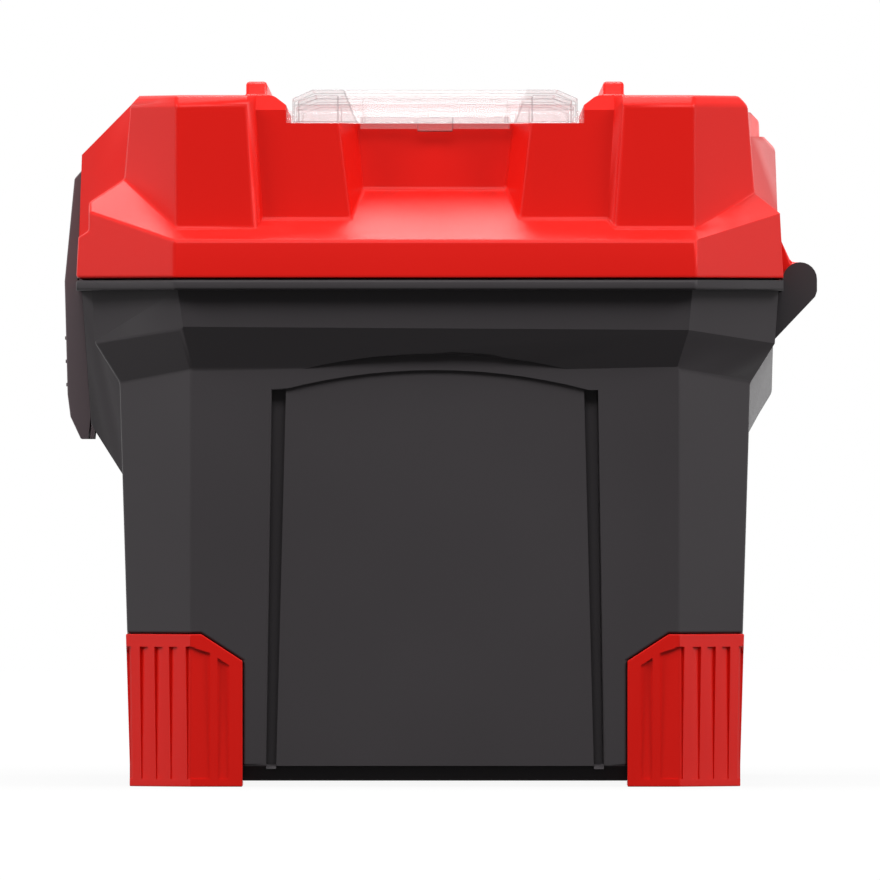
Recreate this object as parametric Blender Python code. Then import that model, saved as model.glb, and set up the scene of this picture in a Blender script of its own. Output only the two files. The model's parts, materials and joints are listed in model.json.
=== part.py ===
# A moulded tool case: a dark bin and a red lid with latches, hinges, corner feet,
# a fold-down handle, two clear-covered organizers and a lift-out tray.
# Metres, +Z up. The long side lies along X and the latches face -Y.

import math

import bmesh
import bpy
from mathutils import Matrix, Vector

# Overall shape
LENGTH = 0.496  # over the rim
DEPTH = 0.2409  # over the rim, front to back
HEIGHT = 0.2404  # floor to the top of the rails
PARTING = 0.1724  # floor to the top of the bin's rim

# Fits
GAP = 0.0003  # between pieces that touch
LID_GAP = 0.0006  # between the rim and the lid
RUN = 0.0005  # beside and around what turns
PIN_FIT = 0.0003  # round a pin
TONGUE_FIT = 0.0007  # between the bin's tongue and the lid's wall
TRAY_FIT = 0.0050  # finger room round the tray's rim
WELL_FIT = 0.0020  # round the tray's well

# Bin
WALL = 0.0028
END_WALL = 0.0072  # the end walls carry the grooves
FLOOR = 0.0030
RIM_THICK = 0.0034
FRONT_LIP = 0.0052  # rim beyond the band at the front
BACK_LIP = 0.0017
END_LIP = 0.0055
BAND_HEIGHT = 0.0136
BAND_LEAN = 0.0012
FLARE = 0.0083  # band beyond the lower wall
FLARE_HEIGHT = 0.0133
CORNER_DROP = 0.0045  # the flare hangs lower along the sides
WALL_LEAN = 0.0039
PLINTH_HEIGHT = 0.0051
PLINTH_INSET = 0.0065
RIM_CORNER = 0.0300  # corner facets, along each wall
BAND_CORNER = 0.0295
WALL_CORNER = 0.0245
LEDGE = 0.0082  # seat of the tray
LEDGE_DROP = 0.0165  # below the rim's top
TONGUE_RISE = 0.0050
TONGUE = 0.0024

# Bulges along the front and the back
BULGE_LENGTH = 0.330
FRONT_SLANT = 1.1  # how far a bulge's end runs along X for each step outwards
BACK_BULGE_LENGTH = 0.250
BACK_SLANT = 4.6
FRONT_BULGE_INSET = 0.0013  # from the rim's edge
FRONT_BULGE_LEAN = 0.0034
FRONT_BULGE_DROP = 0.0459
FRONT_BULGE_TUCK = 0.0200
BACK_BULGE_INSET = 0.0022
BACK_BULGE_LEAN = 0.0010
BACK_BULGE_DROP = 0.0348
BACK_BULGE_TUCK = 0.0171

# End panels of the bin
PANEL_DEPTH = 0.0012
PANEL_TOP_HALF = 0.0524
PANEL_BOTTOM_HALF = 0.0553
PANEL_SPRING = 0.1350  # where the panel's arch starts, above the floor
ARCH_RISE = 0.0068
NOTCH_RISE = 0.0053  # arched notch in the flare, above its lower edge
NOTCH_HALF = 0.0450
GROOVE_DEPTH = 0.0050
GROOVE_TOP = 0.0507  # inner edge of a groove at the arch's spring, from the middle
GROOVE_TOP_WIDTH = 0.0048
GROOVE_FOOT = 0.0541
GROOVE_FOOT_WIDTH = 0.0034
STOP_DROP = 0.0011  # foot of the groove's stop below the plinth's top
STOP_SET = 0.0004  # stop behind the wall's face
STOP_CHAMFER = 0.0017

# Feet
FOOT_SOLE = 0.0017
FOOT_HEIGHT = 0.0519
FOOT_THICK = 0.0031
FOOT_PROUD = 0.0005
FOOT_LEG = 0.0175  # beyond the corner facet
FOOT_SLANT_LENGTH = 0.0140
FOOT_SLANT_HEIGHT = 0.0091
RIB_DEPTH = 0.0011
RIB_FOOT = 0.0026  # foot of the grooves
RIB_FADE = 0.0004  # their depth there
RIB_PITCH = 0.0071
RIB_GROOVE = 0.0040
RIB_COUNT = 3
RIB_MARGIN = 0.0043  # between the grooves and the foot's top
LEG_GROOVE_WIDE = 0.0066
EDGE_GROOVE = 0.0025  # the wide groove's part on the facet
LEG_GROOVE = 0.0039
LEG_RIB = 0.0026
PEG_RADIUS = 0.0030
PEG_HEIGHT = 0.0260

# Hinges
HINGE_SPACING = 0.300
KNUCKLE_RADIUS = 0.0058
KNUCKLE_GAP = 0.0003
AXIS_RISE = 0.0006  # hinge axis above the rim's top
BIN_KNUCKLE = 0.0090
KNUCKLE_END = 0.0020  # closes the outer end of a hinge pin's hole
LID_KNUCKLE = 0.0240
LUG_DROP = 0.0224  # foot of the bin's lug below the axis
LUG_SEAT = 0.0150
LUG_HEEL = 0.0041  # straight back of the bin's lug below the axis
LUG_HEEL_ROUND = 0.0019
LID_LUG_RISE = 0.0148
HINGE_PIN_RADIUS = 0.0020

# Lid
LID_WALL = 0.0026
SHELF_WALL = 0.0032  # under the sloping shelf, measured upright
HOLLOW_CORNER = 0.0300  # corner facets of the lid's hollow
SKIRT_END = 0.0128  # skirt height on the ends
SKIRT_FRONT = 0.0238  # skirt height at the side edge of a front corner
SKIRT_BACK = 0.0222
SKIRT_LEAN = 0.0012
STEP_FOOT = 0.0136  # outer edge of the step along the skirt's front, above the lid's foot
STEP_RISE = 0.0027
STEP_IN = 0.0043
SHELF_SLOPE = 0.70
FACE_STEP = 0.0060  # end face behind the skirt
PANEL_STEP = 0.0044  # middle panel behind the end face
SCOOP_STEP = 0.0145  # back of the scoop behind the middle panel
FACE_LEAN = 0.0020
SHELF_FRONT = 0.0163  # side shelf, front and back
SHELF_FRONT_RISE = 0.0101
SHELF_BACK = 0.0101
SHELF_BACK_RISE = 0.0071
BODY_LEAN = 0.0020
BODY_CORNER = 0.0205
TOP_BEVEL = 0.0034
TOP_BEVEL_RUN = 0.0032
PANEL_BEVEL_DROP = 0.0016
SCOOP_HALF = 0.0245
SCOOP_FLARE = 0.0042  # how far the scoop's sides open towards the end
SCOOP_SPREAD = 0.0045  # how much wider the scoop is at the top
RIDGE_INSET = 0.0078  # ridge outside the channel
RIDGE_SPREAD = 0.0025
RIDGE_WIDTH = 0.0030
LID_BULGE_SKIRT = 0.0002  # front bulge behind the rim's edge
LID_BULGE_LEAN = 0.0012
LID_BULGE_RISE = 0.0425
LID_SLOPE_RUN = 0.0196
LID_CROWN_DROP = 0.0003  # front bulge below the shoulders
BACK_STEP_LOW = 0.0486  # tops of the two steps of the back bulge, above the lid's foot
BACK_STEP_HIGH = 0.0570
BACK_STEP_IN = 0.0055
BACK_STEP_SLOPE = 0.0039
BACK_STEP_SLOPE_HIGH = 0.0031
BACK_STEP_SLANT = 2.7

# Channel, organizers and rails
CHANNEL = 0.0507  # half-width
CHANNEL_DEPTH = 0.0095
CHANNEL_CHAMFER = 0.0043
CHANNEL_CHAMFER_HEIGHT = 0.0033
WELL_DEPTH = 0.0268
DECK = 0.0025
WELL_LEDGE = 0.0042
RAIL_INSET = 0.0066
RAIL_WIDTH = 0.0072
RAIL_HEIGHT = 0.0051
RAIL_LENGTH = 0.380
RAIL_SLOPE = 0.0040
BAY_LENGTH = 0.184
BAY_WALL = 0.0150
BAY_LEDGE = 0.0008
DIVIDER = 0.0016
DIVIDER_HEIGHT = 0.0230
DIVIDER_FIT = 0.0004
DIVIDER_CELLS = 3

# Organizer covers
COVER_SIDE_GAP = 0.0022
COVER_HEIGHT = 0.0111
COVER_SHELL = 0.0018
COVER_CHAMFER = 0.0069
COVER_CHAMFER_HEIGHT = 0.0030
COVER_BARREL = 0.0035
COVER_END_GAP = 0.0010
NOTCH_TOP = 0.0313  # half-width of the cover's finger notch
NOTCH_BOTTOM = 0.0265
NOTCH_RUN = 0.0108
LIP_DROP = 0.0022
LIP_HALF = 0.0254
TAB_HALF = 0.0060
TAB_THICK = 0.0012
TAB_DROP = 0.0031
TRUNNION_RADIUS = 0.0015
TRUNNION_REACH = 0.0018

# Handle
HANDLE_LIFT = 0.0105  # axis above the bay's floor
HANDLE_ARM = 0.0380
ARM_THICK = 0.0070
ARM_GAP = 0.0006
ARM_BOSS = 0.0065
CORE_RADIUS = 0.0060
GRIP_RADIUS = 0.0095
GRIP_END_GAP = 0.0005
HANDLE_PIN_RADIUS = 0.0030
HANDLE_PIN_SEAT = 0.0080  # into the bay's wall
PIN_HEAD_RADIUS = 0.0050
PIN_HEAD = 0.0018

# Latches
LATCH_SPACING = 0.210
LATCH_WIDTH = 0.060
LATCH_GAP = 0.0004
LATCH_THICK = 0.0044
LATCH_BUMP = 0.0004
LATCH_LEAN = 0.0010  # how far the latch's face draws in towards its toe
LATCH_BUMP_HEIGHT = 0.0022
LATCH_BUMP_PITCH = 0.0080
LATCH_BUMP_DROP = 0.0194  # first bump below the rim's top
LATCH_BUMPS = 3
LATCH_AXIS_RISE = 0.0310  # axis above the lid's foot
LATCH_AXIS_INSET = 0.0052  # axis behind the rim's edge
LATCH_BARREL = 0.0036
LATCH_TOP = 0.0070  # latch above its axis
LATCH_TOP_IN = 0.0034
LATCH_REACH = 0.0541  # latch below the rim's top
LATCH_TOE_HEIGHT = 0.0077
LATCH_TOE_IN = 0.0056
LATCH_TOE = 0.0025
LATCH_CHEEK = 0.0035
LATCH_PIN_RADIUS = 0.0015
LATCH_PIN_SEAT = 0.0040
BEAD = 0.0013  # snap beads on the bin and the latch
BEAD_HEIGHT = 0.0026
BEAD_DROP = 0.0140

# Tray
TRAY_WALL = 0.0022
TRAY_DEPTH = 0.0550
TRAY_RIM_DROP = 0.0024  # tray's top below the bin's rim
TRAY_BAR = 0.0100
TRAY_BAR_HALF = 0.0065
TRAY_BAR_LENGTH = 0.120

# Facets of round pieces
SEGMENTS = 24
ARCH_STEPS = 14
OUTSIDE = 0.02  # how far cutters reach beyond what they cut

# Derived heights, above the floor
bin_bottom = FOOT_SOLE + GAP
plinth_top = bin_bottom + PLINTH_HEIGHT
rim_bottom = PARTING - RIM_THICK
flare_top = rim_bottom - BAND_HEIGHT
flare_bottom = flare_top - FLARE_HEIGHT
ledge_z = PARTING - LEDGE_DROP
lid_foot = PARTING + LID_GAP
lid_top = HEIGHT - RAIL_HEIGHT
channel_z = lid_top - CHANNEL_DEPTH
well_z = channel_z - WELL_DEPTH
deck_z = well_z - DECK
hinge_z = PARTING + AXIS_RISE
latch_z = lid_foot + LATCH_AXIS_RISE
handle_z = well_z + HANDLE_LIFT
cover_foot = channel_z + GAP
cover_top = cover_foot + COVER_HEIGHT
cover_axis_z = cover_foot + COVER_BARREL

# Derived reaches from the middle of the case
rim_half = LENGTH / 2
band_half = rim_half - END_LIP
band_side = (DEPTH - FRONT_LIP - BACK_LIP) / 2
rim_front = band_side + FRONT_LIP
rim_back = band_side + BACK_LIP
wall_half = band_half - BAND_LEAN - FLARE
wall_side = band_side - BAND_LEAN - FLARE
inner_half = band_half - BAND_LEAN - WALL
inner_side = band_side - BAND_LEAN - WALL
bulge_half = BULGE_LENGTH / 2
back_bulge_half = BACK_BULGE_LENGTH / 2
hinge_y = rim_back + KNUCKLE_GAP + KNUCKLE_RADIUS
latch_y = -(rim_front - LATCH_AXIS_INSET)
body_front = rim_front - SHELF_FRONT
body_back = rim_back - SHELF_BACK
skirt_half = rim_half - SKIRT_LEAN
face_x = skirt_half - FACE_STEP
panel_x = face_x - PANEL_STEP
scoop_x = panel_x - SCOOP_STEP
well_end = scoop_x - FACE_LEAN - LID_WALL
bay_half = BAY_LENGTH / 2
well_start = bay_half + BAY_WALL
well_half = CHANNEL - WELL_LEDGE
cover_axis_x = bay_half + BAY_WALL / 2
cover_end = panel_x - FACE_LEAN - COVER_END_GAP
cover_half = CHANNEL - COVER_SIDE_GAP
latch_face = rim_front + LATCH_GAP
latch_reach = latch_face + LATCH_THICK
case_y = (latch_reach - hinge_y - KNUCKLE_RADIUS) / 2


# Modelling helpers

def srgb(code):
    """Linear colour of a hex code."""
    channels = [int(code[i:i + 2], 16) / 255 for i in (0, 2, 4)]
    return [c / 12.92 if c <= 0.04045 else ((c + 0.055) / 1.055) ** 2.4 for c in channels] + [1.0]


def material(name, code, roughness, metallic=0.0, clear=0.0):
    made = bpy.data.materials.new(name)
    made.use_nodes = True
    shader = made.node_tree.nodes["Principled BSDF"]
    shader.inputs["Base Color"].default_value = srgb(code)
    shader.inputs["Roughness"].default_value = roughness
    shader.inputs["Metallic"].default_value = metallic
    shader.inputs["Transmission Weight"].default_value = clear
    return made


def solid(name, bm, finish=None):
    """An object made of the faces in bm, turned outwards."""
    bmesh.ops.recalc_face_normals(bm, faces=bm.faces)
    mesh = bpy.data.meshes.new(name)
    bm.to_mesh(mesh)
    bm.free()
    if finish:
        mesh.materials.append(finish)
    made = bpy.data.objects.new(name, mesh)
    bpy.context.scene.collection.objects.link(made)
    return made


def loft(rings):
    """Closed skin over rings of equally many points, capped at both ends."""
    bm = bmesh.new()
    loops = [[bm.verts.new(point) for point in points] for points in rings]
    for lower, upper in zip(loops, loops[1:]):
        for i in range(len(lower)):
            bm.faces.new((lower[i - 1], lower[i], upper[i], upper[i - 1]))
    bm.faces.new(loops[0])
    bm.faces.new(loops[-1])
    return bm


def hull(points):
    """Convex skin round the points."""
    bm = bmesh.new()
    for point in points:
        bm.verts.new(point)
    made = bmesh.ops.convex_hull(bm, input=bm.verts)
    spare = {v for key in ("geom_interior", "geom_unused") for v in made[key]
             if isinstance(v, bmesh.types.BMVert)}
    bmesh.ops.delete(bm, geom=list(spare), context="VERTS")
    bmesh.ops.dissolve_limit(bm, angle_limit=0.002, verts=bm.verts, edges=bm.edges)
    return bm


def along_x(outline, low, high):
    """Prism of a (y, z) outline from x low to x high."""
    return loft([[(x, y, z) for y, z in outline] for x in (low, high)])


def hull_x(outline, low, high):
    return hull([(x, y, z) for x in (low, high) for y, z in outline])


def hull_y(outline, low, high):
    """Convex prism of an (x, z) outline from y low to y high."""
    return hull([(x, y, z) for y in (low, high) for x, z in outline])


def box(low, high):
    return along_x([(low[1], low[2]), (high[1], low[2]), (high[1], high[2]), (low[1], high[2])],
                   low[0], high[0])


def circle(centre, radius):
    """Points round a centre, for outlines."""
    turns = [2 * math.pi * i / SEGMENTS for i in range(SEGMENTS)]
    return [(centre[0] + radius * math.cos(t), centre[1] + radius * math.sin(t)) for t in turns]


def rod(centre, radius, low, high):
    """Round bar along X."""
    return along_x(circle(centre, radius), low, high)


def combine(body, bm, operation):
    """Boolean of body with the solid in bm."""
    tool = solid("tool", bm)
    change = body.modifiers.new(operation, "BOOLEAN")
    change.operation = operation
    change.solver = "EXACT"
    change.object = tool
    graph = bpy.context.evaluated_depsgraph_get()
    mesh = bpy.data.meshes.new_from_object(body.evaluated_get(graph))
    body.modifiers.clear()
    body.data = mesh
    bpy.data.objects.remove(tool)


def join(body, bm):
    combine(body, bm, "UNION")


def cut(body, bm):
    combine(body, bm, "DIFFERENCE")


def faces_of(made):
    """The object's mesh as a tool, taking the object away."""
    bm = bmesh.new()
    bm.from_mesh(made.data)
    bpy.data.objects.remove(made)
    return bm


def reflected(made, x_sign, y_sign):
    """A mirrored copy of an object's mesh."""
    bm = bmesh.new()
    bm.from_mesh(made.data)
    bmesh.ops.scale(bm, vec=(x_sign, y_sign, 1), verts=bm.verts)
    return bm


def seat(pieces, pivot):
    """Parents pieces modelled in the case's own frame to a pivot, without moving them."""
    for piece in pieces:
        piece.data.transform(Matrix.Translation(-pivot["point"]))
        piece.parent = pivot["empty"]


def make_pivot(name, point, parent=None):
    """An empty on a joint's axis."""
    empty = bpy.data.objects.new(name, None)
    bpy.context.scene.collection.objects.link(empty)
    point = Vector(point)
    if parent:
        empty.parent = parent["empty"]
        empty.location = point - parent["point"]
    return {"empty": empty, "point": point}


def smooth(pieces):
    for piece in pieces:
        piece.data.shade_smooth()
        piece.data.set_sharp_from_angle(angle=math.radians(35))


def ring(half, front, back, corner, z_end, z_back=None, z_front=None):
    """Eight points round the case: ends and sides joined by corner facets."""
    rear = z_end if z_back is None else z_back
    fore = rear if z_front is None else z_front
    end = back - corner
    side = half - corner
    return [(half, -end, z_end), (half, end, z_end), (side, back, rear), (-side, back, rear),
            (-half, end, z_end), (-half, -end, z_end), (-side, -front, fore), (side, -front, fore)]


def wall_lean(z):
    """How far the bin's lower wall leans in at a height."""
    return WALL_LEAN * (flare_bottom - z) / (flare_bottom - plinth_top)


# Bin

def front_bulge(inset):
    """Outline of the bin's front bulge, drawn in by a wall."""
    top = -(rim_front - FRONT_BULGE_INSET - inset)
    low = rim_bottom - FRONT_BULGE_DROP + inset
    foot = -(wall_side - 2 * WALL)
    return [(foot, rim_bottom + RIM_THICK / 2), (top, rim_bottom + RIM_THICK / 2),
            (top + FRONT_BULGE_LEAN, low), (-(wall_side - WALL), low - FRONT_BULGE_TUCK),
            (foot, low - FRONT_BULGE_TUCK)]


def back_bulge(inset):
    top = rim_back - BACK_BULGE_INSET - inset
    low = rim_bottom - BACK_BULGE_DROP + inset
    foot = wall_side - 2 * WALL
    return [(foot, rim_bottom + RIM_THICK / 2), (top, rim_bottom + RIM_THICK / 2),
            (top - BACK_BULGE_LEAN, low), (wall_side - WALL, low - BACK_BULGE_TUCK),
            (foot, low - BACK_BULGE_TUCK)]


def bevelled(outline, half, slant):
    """Hull of an outline along X, each end one plane that slants back to the wall."""
    crest = max(abs(y) for y, z in outline)
    return hull([(sign * (half + slant * (crest - abs(y))), y, z) for sign in (-1, 1) for y, z in outline])


def bin_bulges(inset):
    return [bevelled(front_bulge(inset), bulge_half, FRONT_SLANT),
            bevelled(back_bulge(inset), back_bulge_half, BACK_SLANT)]


def bin_cavity():
    """Inside of the bin, with the tray's ledge and thicker corners behind the feet."""
    floor = bin_bottom + FLOOR
    step = plinth_top + FLOOR
    low = wall_lean(step)
    plinth_half = wall_half - WALL_LEAN - PLINTH_INSET - WALL
    plinth_side = wall_side - WALL_LEAN - PLINTH_INSET - WALL
    rings = [
        ring(plinth_half, plinth_side, plinth_side, WALL_CORNER - WALL_LEAN, floor),
        ring(plinth_half, plinth_side, plinth_side, WALL_CORNER - WALL_LEAN, step),
        ring(wall_half - END_WALL - low, wall_side - WALL - low, wall_side - WALL - low,
             WALL_CORNER - low, step),
        ring(wall_half - END_WALL, wall_side - WALL, wall_side - WALL, WALL_CORNER, flare_bottom),
        ring(inner_half - LEDGE, inner_side - LEDGE, inner_side - LEDGE, BAND_CORNER, ledge_z),
        ring(inner_half, inner_side, inner_side, BAND_CORNER, ledge_z),
        ring(inner_half, inner_side, inner_side, BAND_CORNER, PARTING + OUTSIDE)]
    cavity = solid("cavity", loft(rings))
    depth = FOOT_THICK - FOOT_PROUD + GAP + WALL
    for x_sign in (-1, 1):
        for y_sign in (-1, 1):
            block = solid("block", loft(foot_block(depth, WALL, -OUTSIDE, FOOT_HEIGHT + GAP + WALL)))
            cut(cavity, reflected(block, x_sign, y_sign))
            bpy.data.objects.remove(block)
    for bulge in bin_bulges(WALL):
        join(cavity, bulge)
    return faces_of(cavity)


def end_prism(outline, depth, x_sign):
    """Cutter whose back lies at a depth behind the leaning end wall."""
    back = [(x_sign * (wall_half - wall_lean(z) - depth), y, z) for y, z in outline]
    front = [(x_sign * (wall_half - wall_lean(z) + OUTSIDE), y, z) for y, z in outline]
    return loft([back, front])


def arch(half, spring, rise):
    """Points of a shallow arch, from +half to -half."""
    radius = (half ** 2 + rise ** 2) / (2 * rise)
    reach = math.asin(half / radius)
    turns = [reach - 2 * reach * i / ARCH_STEPS for i in range(ARCH_STEPS + 1)]
    return [(radius * math.sin(t), spring + rise - radius * (1 - math.cos(t))) for t in turns]


def groove_stop():
    """Side view of the chamfered stop that closes the foot of a groove."""
    tip = wall_half - WALL_LEAN - STOP_SET
    back = tip - GROOVE_DEPTH - (END_WALL - GROOVE_DEPTH) / 2
    low = plinth_top - STOP_DROP
    high = low + STOP_CHAMFER
    return [(tip, low), (tip - STOP_CHAMFER, high), (back, high), (back, low)]


def cut_end_panel(body, x_sign):
    """Arched panel, its two side grooves and the notch in the flare above it."""
    panel = [(-PANEL_BOTTOM_HALF, plinth_top), (PANEL_BOTTOM_HALF, plinth_top)]
    cut(body, end_prism(panel + arch(PANEL_TOP_HALF, PANEL_SPRING, ARCH_RISE), PANEL_DEPTH, x_sign))
    low = plinth_top - PLINTH_HEIGHT / 2
    line = [(GROOVE_FOOT, low), (GROOVE_FOOT + GROOVE_FOOT_WIDTH, low),
            (GROOVE_TOP + GROOVE_TOP_WIDTH, PANEL_SPRING), (GROOVE_TOP, PANEL_SPRING)]
    for y_sign in (-1, 1):
        groove = [(y_sign * y, z) for y, z in line]
        cut(body, end_prism(groove, GROOVE_DEPTH, x_sign))
        low_y, high_y = sorted((y_sign * line[0][0], y_sign * line[1][0]))
        join(body, hull_y([(x_sign * x, z) for x, z in groove_stop()], low_y, high_y))
    cut(body, end_prism(arch(NOTCH_HALF, flare_bottom, NOTCH_RISE), 0, x_sign))


def bin_lug():
    seat_y = band_side - BAND_LEAN - WALL / 2
    heel = hinge_z - LUG_HEEL
    back = hinge_y + KNUCKLE_RADIUS
    return circle((hinge_y, hinge_z), KNUCKLE_RADIUS) + [
        (back, heel), (back - LUG_HEEL_ROUND / 3, heel - LUG_HEEL_ROUND),
        (seat_y, hinge_z - LUG_SEAT), (seat_y, hinge_z - LUG_DROP)]


def hinge_spans(x):
    """Spans along X of the bin's two knuckles round a hinge's middle."""
    inner = LID_KNUCKLE / 2 + RUN
    return [(x - inner - BIN_KNUCKLE, x - inner), (x + inner, x + inner + BIN_KNUCKLE)]


def hinge_pin_span(side):
    """Ends along X of a hinge pin, which stops inside the outer knuckle."""
    x = side * HINGE_SPACING / 2
    reach = LID_KNUCKLE / 2 + RUN + BIN_KNUCKLE
    return sorted((x - side * reach, x + side * (reach - KNUCKLE_END)))


def bead_face():
    """The front bulge's face at the height of the snap beads."""
    return -(rim_front - FRONT_BULGE_INSET - FRONT_BULGE_LEAN * BEAD_DROP / FRONT_BULGE_DROP)


def catch_bead():
    """Snap bead on the bin's front bulge, above the latch's own bead."""
    z = rim_bottom - BEAD_DROP
    face = bead_face()
    return [(face + WALL / 2, z - BEAD_HEIGHT), (face - BEAD, z - BEAD_HEIGHT / 4),
            (face - BEAD, z + BEAD_HEIGHT / 4), (face + WALL / 2, z + BEAD_HEIGHT)]


def make_bin(finish):
    low_half = wall_half - WALL_LEAN
    low_side = wall_side - WALL_LEAN
    low_corner = WALL_CORNER - WALL_LEAN
    plinth_half = low_half - PLINTH_INSET
    plinth_side = low_side - PLINTH_INSET
    mid_half = band_half - BAND_LEAN
    mid_side = band_side - BAND_LEAN
    body = solid("bin", loft([
        ring(plinth_half, plinth_side, plinth_side, low_corner, bin_bottom),
        ring(plinth_half, plinth_side, plinth_side, low_corner, plinth_top),
        ring(low_half, low_side, low_side, low_corner, plinth_top),
        ring(wall_half, wall_side, wall_side, WALL_CORNER, flare_bottom, flare_bottom - CORNER_DROP),
        ring(mid_half, mid_side, mid_side, BAND_CORNER, flare_top, flare_top - CORNER_DROP),
        ring(band_half, band_side, band_side, BAND_CORNER, rim_bottom),
        ring(rim_half, rim_front, rim_back, RIM_CORNER, rim_bottom),
        ring(rim_half, rim_front, rim_back, RIM_CORNER, PARTING),
    ]), finish)
    for bulge in bin_bulges(0):
        join(body, bulge)
    tongue_half = inner_half + TONGUE
    tongue_side = min(inner_side + TONGUE, rim_back - LID_WALL - TONGUE_FIT)
    join(body, loft([ring(tongue_half, tongue_side, tongue_side, BAND_CORNER, z)
                     for z in (rim_bottom + RIM_THICK / 2, PARTING + TONGUE_RISE)]))
    for side in (-1, 1):
        for low, high in hinge_spans(side * HINGE_SPACING / 2):
            join(body, hull_x(bin_lug(), low, high))
    cut(body, bin_cavity())
    for side in (-1, 1):
        x = side * HINGE_SPACING / 2
        low, high = hinge_pin_span(side)
        cut(body, rod((hinge_y, hinge_z), HINGE_PIN_RADIUS + PIN_FIT, low - GAP, high + GAP))
        clear = LID_KNUCKLE / 2 + RUN
        cut(body, rod((hinge_y, hinge_z), KNUCKLE_RADIUS + RUN, x - clear, x + clear))
        x = side * LATCH_SPACING / 2
        half = LATCH_WIDTH / 2 + RUN
        lip = -(rim_front - FRONT_BULGE_INSET)
        cut(body, box((x - half, lip - OUTSIDE, rim_bottom - GAP), (x + half, lip, PARTING + GAP)))
        bead = LATCH_WIDTH / 2 - LATCH_CHEEK - RUN
        join(body, hull_x(catch_bead(), x - bead, x + bead))
        cut_end_panel(body, side)
        for y_sign in (-1, 1):
            pocket = solid("pocket", loft(foot_block(FOOT_THICK - FOOT_PROUD + GAP, GAP, -OUTSIDE,
                                                     FOOT_HEIGHT + GAP)))
            for swap in (False, True):
                cut(pocket, leg_slant(swap, GAP))
            cut(body, reflected(pocket, side, y_sign))
            bpy.data.objects.remove(pocket)
            hole = solid("hole", peg(PEG_RADIUS + PIN_FIT, OUTSIDE))
            cut(body, reflected(hole, side, y_sign))
            bpy.data.objects.remove(hole)
    return body


# Feet, modelled at the +X +Y corner

def foot_line(depth, leg, z):
    """Plan of the corner at a height, a depth behind the wall's face: side leg, facet, end leg."""
    lean = wall_lean(max(z, plinth_top))
    half = wall_half - lean - depth
    side = wall_side - lean - depth
    corner = WALL_CORNER - lean - depth * (2 - math.sqrt(2))
    side_x = wall_half - WALL_CORNER - FOOT_LEG - leg
    end_y = wall_side - WALL_CORNER - FOOT_LEG - leg
    return [(side_x, side, z), (half - corner, side, z), (half, side - corner, z), (half, end_y, z)]


def foot_block(depth, leg, low, high):
    """Rings of a block that covers the corner outside a depth, used to cut its pocket."""
    rings = []
    for z in (low, plinth_top, high):
        line = foot_line(depth, leg, z)
        out_x = wall_half + OUTSIDE
        out_y = wall_side + OUTSIDE
        rings.append(line + [(out_x, line[3][1], z), (out_x, out_y, z), (line[0][0], out_y, z)])
    return rings


def facet_frame():
    """Middle of the corner facet at the plinth's top, and its outward direction."""
    side_point, end_point = foot_line(-FOOT_PROUD, 0, plinth_top)[1:3]
    middle = (Vector(side_point) + Vector(end_point)) / 2
    return middle, Vector((1, 1, 0)).normalized(), Vector((1, -1, 0)).normalized()


def peg(radius, length):
    """Round peg square to the corner facet, running inwards from the foot's middle."""
    middle, out, across = facet_frame()
    lean = (wall_lean(plinth_top) - wall_lean(PEG_HEIGHT)) / math.sqrt(2)
    start = middle + out * (lean - FOOT_THICK / 2)
    rings = []
    for depth in (0, length):
        points = circle((0, PEG_HEIGHT), radius)
        rings.append([(start - out * depth) * Vector((1, 1, 0)) + across * u + Vector((0, 0, z))
                      for u, z in points])
    return loft(rings)


def groove_across(offset, width):
    """Upright groove in the corner facet, at an offset from its middle."""
    middle, out, across = facet_frame()
    top = FOOT_HEIGHT - RIB_MARGIN
    points = []
    for z, deep in ((RIB_FOOT, RIB_FADE), (top, RIB_DEPTH)):
        lean = (wall_lean(plinth_top) - wall_lean(max(z, plinth_top))) / math.sqrt(2)
        for u in (offset - width / 2, offset + width / 2):
            for depth in (-deep, OUTSIDE):
                flat = middle + out * (lean + depth) + across * u
                points.append((flat.x, flat.y, z))
    return hull(points)


def groove_on_leg(start, width, swap):
    """Upright groove in a leg, starting at a distance from the facet's edge."""
    line = foot_line(-FOOT_PROUD, 0, plinth_top)
    points = []
    for z, deep in ((RIB_FOOT, RIB_FADE), (FOOT_HEIGHT - RIB_MARGIN, RIB_DEPTH)):
        lean = wall_lean(plinth_top) - wall_lean(max(z, plinth_top))
        for run in (start, start + width):
            slant = max(0, run + FOOT_SLANT_LENGTH - FOOT_LEG) * FOOT_SLANT_HEIGHT / FOOT_SLANT_LENGTH
            height = z if z == RIB_FOOT else z - slant
            for depth in (-deep, OUTSIDE):
                if swap:
                    points.append((line[1][0] - run, line[1][1] + lean + depth, height))
                else:
                    points.append((line[2][0] + lean + depth, line[2][1] - run, height))
    return hull(points)


def leg_slant(swap, rise=0.0):
    """Wedge that slants the top of a leg down to its end, or stands a rise above that slant."""
    line = foot_line(0, 0, FOOT_HEIGHT)
    top = FOOT_HEIGHT + rise
    low = top - FOOT_SLANT_HEIGHT
    run = FOOT_SLANT_LENGTH
    extra = FOOT_SLANT_HEIGHT / FOOT_SLANT_LENGTH * OUTSIDE
    end = line[0][0] if swap else line[3][1]
    over = top + OUTSIDE
    outline = [(end + run, top), (end - OUTSIDE, low - extra), (end - OUTSIDE, over), (end + run, over)]
    if swap:
        return hull_y(outline, 0, wall_side + OUTSIDE)
    return hull_x(outline, 0, wall_half + OUTSIDE)


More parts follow.
